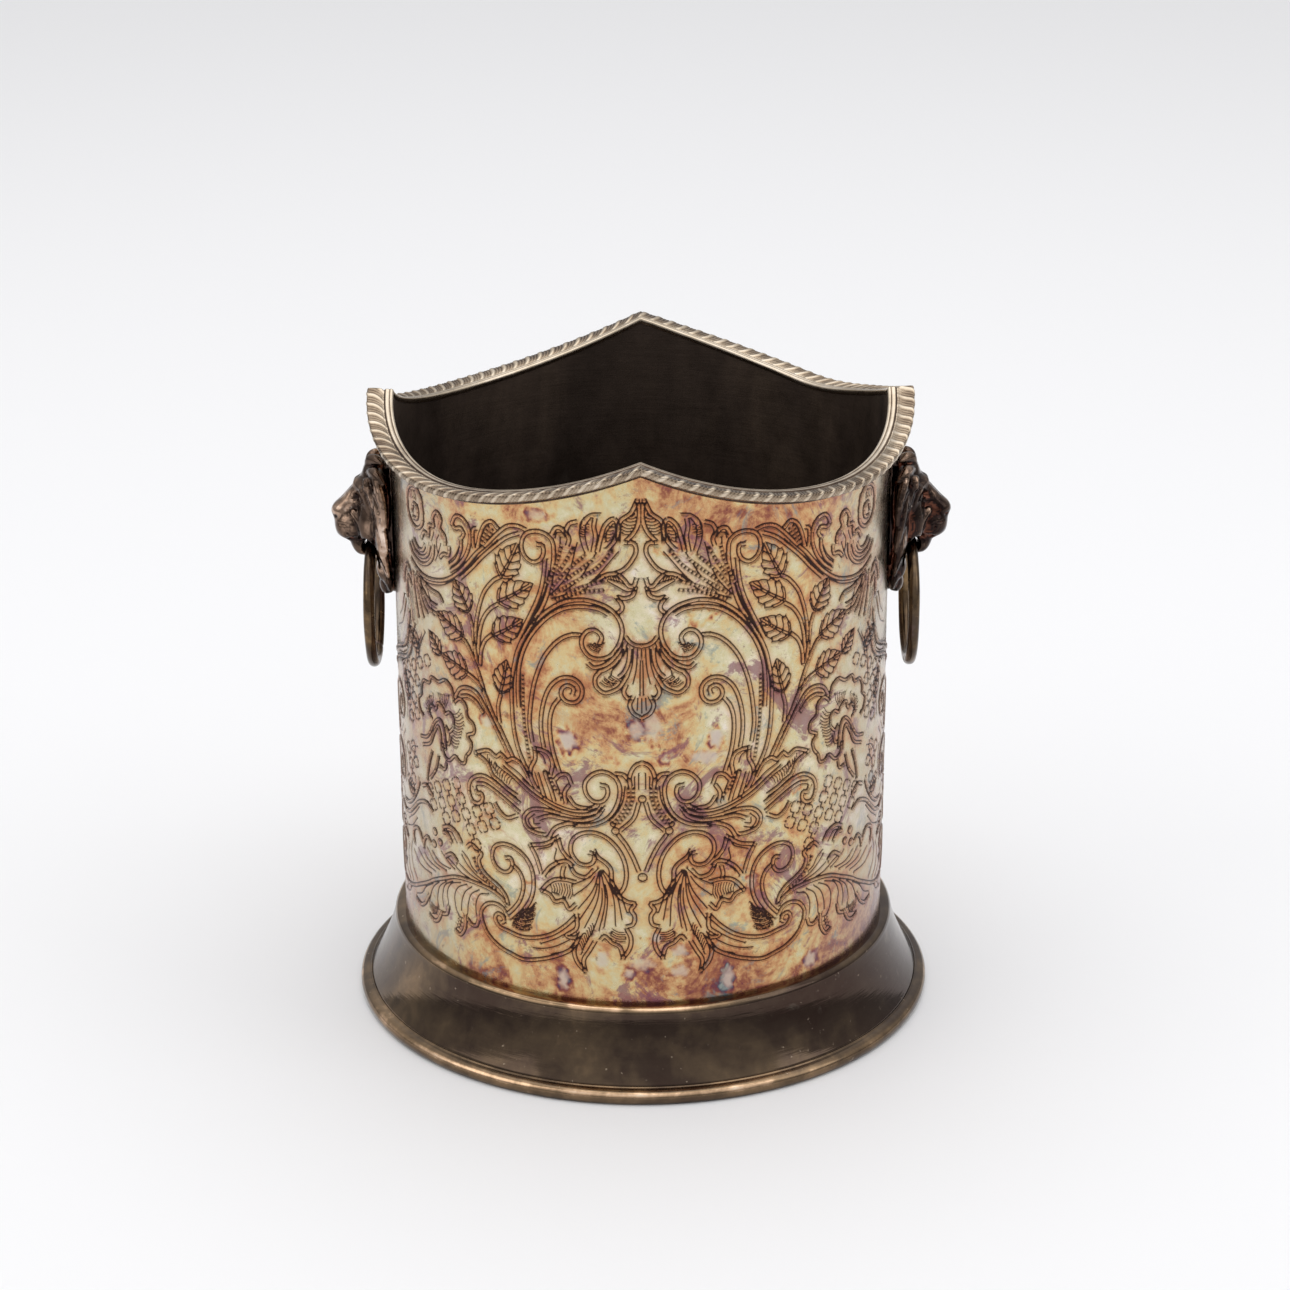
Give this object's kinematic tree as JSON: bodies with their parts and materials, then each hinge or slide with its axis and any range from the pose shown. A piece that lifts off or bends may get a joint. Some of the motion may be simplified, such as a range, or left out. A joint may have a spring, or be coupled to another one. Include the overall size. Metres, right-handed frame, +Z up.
{
  "type": "champagne bucket",
  "caption": "Round tarnished silver-plated champagne bucket with engraved wall, wavy gadroon rim, spun foot and lion-mask handles with swinging rings.",
  "frame": {"origin": "middle of the flat underside of the foot, on the surface the bucket stands on", "axes": "+Z up along the wall's axis, -Y to the front, +X to the right-hand mask"},
  "size_m": [0.1878, 0.18, 0.1959],
  "materials": {
    "engraved_silver": "polished silver plate with straw, amber and violet tarnish, dark in the engraving",
    "dark_interior": "near-black brown tarnish, glossy",
    "tarnished_foot": "olive-brown mirror tarnish",
    "pale_rim_silver": "pale warm silver, grey-brown in the hollows",
    "cast_mask": "dark tarnished casting with worn high spots",
    "brass_fixing": "dull brass",
    "ring_wire": "golden-brown tarnished drawn wire"
  },
  "bodies": {
    "bucket": {"body_wall": "engraved_silver", "bucket_floor": "dark_interior", "foot_flare": "tarnished_foot", "foot_rim_moulding": "tarnished_foot", "rim_mount_front_right": "pale_rim_silver", "rim_mount_back_right": "pale_rim_silver", "rim_mount_back_left": "pale_rim_silver", "rim_mount_front_left": "pale_rim_silver", "lion_mask_right": "cast_mask", "mask_stud_right": "brass_fixing", "mask_washer_right": "brass_fixing", "mask_nut_right": "brass_fixing", "lion_mask_left": "cast_mask", "mask_stud_left": "brass_fixing", "mask_washer_left": "brass_fixing", "mask_nut_left": "brass_fixing"},
    "ring_right": {"handle_ring_right": "ring_wire"},
    "ring_left": {"handle_ring_left": "ring_wire"}
  },
  "joints": [
    {"name": "ring_right_swing", "type": "hinge", "parent": "bucket", "child": "ring_right", "pos_m": [0.0819, 0, 0.145], "axis": [0, -1, 0], "range_deg": [-6, 140]},
    {"name": "ring_left_swing", "type": "hinge", "parent": "bucket", "child": "ring_left", "pos_m": [-0.0819, 0, 0.145], "axis": [0, 1, 0], "range_deg": [-6, 140]}
  ]
}
